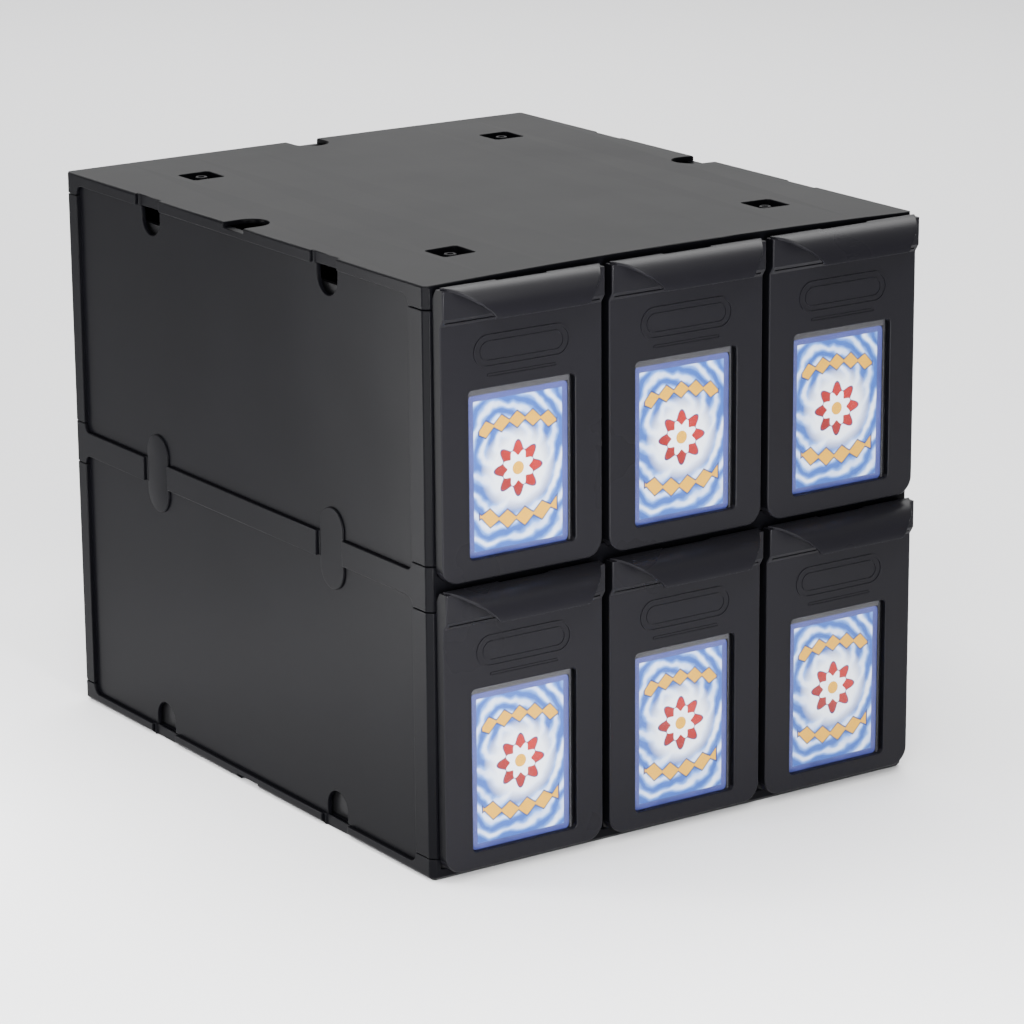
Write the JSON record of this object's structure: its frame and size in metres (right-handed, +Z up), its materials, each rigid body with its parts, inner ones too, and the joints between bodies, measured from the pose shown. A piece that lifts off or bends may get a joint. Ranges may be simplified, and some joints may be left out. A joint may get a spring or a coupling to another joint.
{
  "type": "trading card drawer box",
  "caption": "Stackable black plastic card cabinet: two tiers of sliding card drawers with pull lips and framed label windows, clipped together at the sides.",
  "frame": {"origin": "centre of the bounding box footprint, on the surface the cabinet stands on", "axes": "+X to the right across the drawer fronts, +Y from the front to the back, +Z up; the drawers open towards -Y"},
  "size_m": [0.324, 0.4134, 0.3274],
  "materials": {
    "black_plastic": "satin moulded black plastic",
    "front_plastic": "satin moulded black plastic",
    "clip_plastic": "satin moulded black plastic",
    "window_pane": "clear plastic pane",
    "card_print": "printed card, blue border with a pale field"
  },
  "bodies": {
    "cabinet": {"bottom_plate": "black_plastic", "middle_plate": "black_plastic", "top_plate": "black_plastic", "side_panel_left_lower": "black_plastic", "side_panel_right_lower": "black_plastic", "back_panel_lower": "black_plastic", "divider_left_lower": "black_plastic", "divider_right_lower": "black_plastic", "side_panel_left_upper": "black_plastic", "side_panel_right_upper": "black_plastic", "back_panel_upper": "black_plastic", "divider_left_upper": "black_plastic", "divider_right_upper": "black_plastic", "clip_left_front": "clip_plastic", "clip_left_rear": "clip_plastic", "clip_right_front": "clip_plastic", "clip_right_rear": "clip_plastic"},
    "drawer_lower_left": {"drawer_lower_left_tray": "black_plastic", "drawer_lower_left_front": "front_plastic", "drawer_lower_left_window": "window_pane", "drawer_lower_left_card": "card_print"},
    "drawer_lower_middle": {"drawer_lower_middle_tray": "black_plastic", "drawer_lower_middle_front": "front_plastic", "drawer_lower_middle_window": "window_pane", "drawer_lower_middle_card": "card_print"},
    "drawer_lower_right": {"drawer_lower_right_tray": "black_plastic", "drawer_lower_right_front": "front_plastic", "drawer_lower_right_window": "window_pane", "drawer_lower_right_card": "card_print"},
    "drawer_upper_left": {"drawer_upper_left_tray": "black_plastic", "drawer_upper_left_front": "front_plastic", "drawer_upper_left_window": "window_pane", "drawer_upper_left_card": "card_print"},
    "drawer_upper_middle": {"drawer_upper_middle_tray": "black_plastic", "drawer_upper_middle_front": "front_plastic", "drawer_upper_middle_window": "window_pane", "drawer_upper_middle_card": "card_print"},
    "drawer_upper_right": {"drawer_upper_right_tray": "black_plastic", "drawer_upper_right_front": "front_plastic", "drawer_upper_right_window": "window_pane", "drawer_upper_right_card": "card_print"}
  },
  "joints": [
    {"name": "drawer_lower_left_slide", "type": "slide", "parent": "cabinet", "child": "drawer_lower_left", "axis": [0, -1, 0], "range_m": [0, 0.32]},
    {"name": "drawer_lower_middle_slide", "type": "slide", "parent": "cabinet", "child": "drawer_lower_middle", "axis": [0, -1, 0], "range_m": [0, 0.32]},
    {"name": "drawer_lower_right_slide", "type": "slide", "parent": "cabinet", "child": "drawer_lower_right", "axis": [0, -1, 0], "range_m": [0, 0.32]},
    {"name": "drawer_upper_left_slide", "type": "slide", "parent": "cabinet", "child": "drawer_upper_left", "axis": [0, -1, 0], "range_m": [0, 0.32]},
    {"name": "drawer_upper_middle_slide", "type": "slide", "parent": "cabinet", "child": "drawer_upper_middle", "axis": [0, -1, 0], "range_m": [0, 0.32]},
    {"name": "drawer_upper_right_slide", "type": "slide", "parent": "cabinet", "child": "drawer_upper_right", "axis": [0, -1, 0], "range_m": [0, 0.32]}
  ]
}
